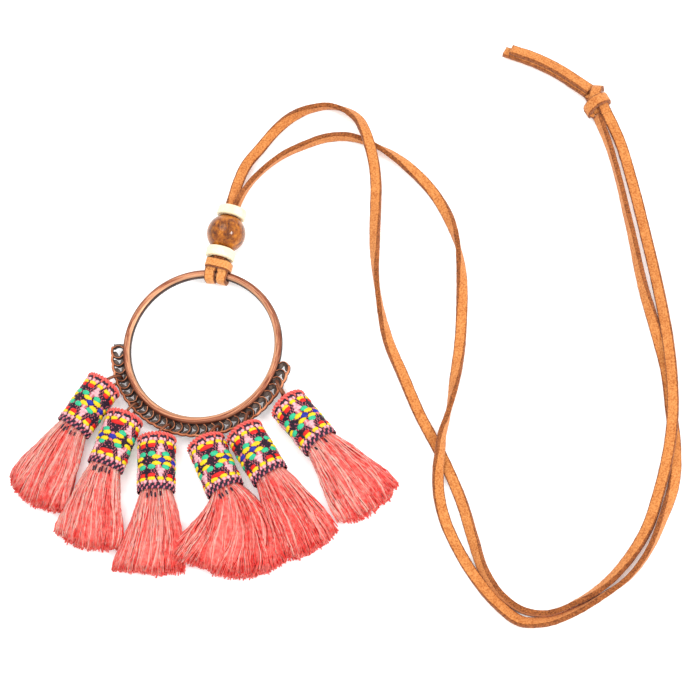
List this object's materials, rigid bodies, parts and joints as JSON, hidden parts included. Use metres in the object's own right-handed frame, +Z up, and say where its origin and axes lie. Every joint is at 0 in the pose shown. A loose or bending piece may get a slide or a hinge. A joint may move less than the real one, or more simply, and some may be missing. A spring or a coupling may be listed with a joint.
{
  "type": "tassel necklace",
  "caption": "Long necklace of a flat leather lace, hitched to a pierced metal hoop from which thread tassels with woven cuffs hang on jump rings",
  "frame": {"origin": "on the table, under the centre of the hoop", "axes": "+Z up from the table, +Y from the tassels towards the neck, +X towards the laid-out lace"},
  "size_m": [0.1817, 0.163, 0.0106],
  "materials": {
    "copper": "polished copper with dark recesses",
    "coral_thread": "silky viscose thread",
    "woven_band": "patterned woven ribbon with raised silky floats",
    "dark_wood": "polished, with dark grain",
    "cream_disc": "smooth bone or resin",
    "tan_leather": "soft suede lace"
  },
  "bodies": {
    "root": {"hoop": "copper", "jump_ring_1": "copper", "jump_ring_2": "copper", "jump_ring_3": "copper", "jump_ring_4": "copper", "jump_ring_5": "copper", "jump_ring_6": "copper", "tassel_loop_1": "coral_thread", "tassel_loop_2": "coral_thread", "tassel_loop_3": "coral_thread", "tassel_loop_4": "coral_thread", "tassel_loop_5": "coral_thread", "tassel_loop_6": "coral_thread", "tassel_cuff_1": "woven_band", "tassel_cuff_2": "woven_band", "tassel_cuff_3": "woven_band", "tassel_cuff_4": "woven_band", "tassel_cuff_5": "woven_band", "tassel_cuff_6": "woven_band", "tassel_fringe_1": "coral_thread", "tassel_fringe_2": "coral_thread", "tassel_fringe_3": "coral_thread", "tassel_fringe_4": "coral_thread", "tassel_fringe_5": "coral_thread", "tassel_fringe_6": "coral_thread", "wood_bead": "dark_wood", "disc_bead_lower": "cream_disc", "disc_bead_upper": "cream_disc", "lace_hitch": "tan_leather", "lace_strand_a": "tan_leather", "lace_strand_b": "tan_leather", "lace_knot": "tan_leather", "lace_tail_a": "tan_leather", "lace_tail_b": "tan_leather"}
  },
  "joints": []
}
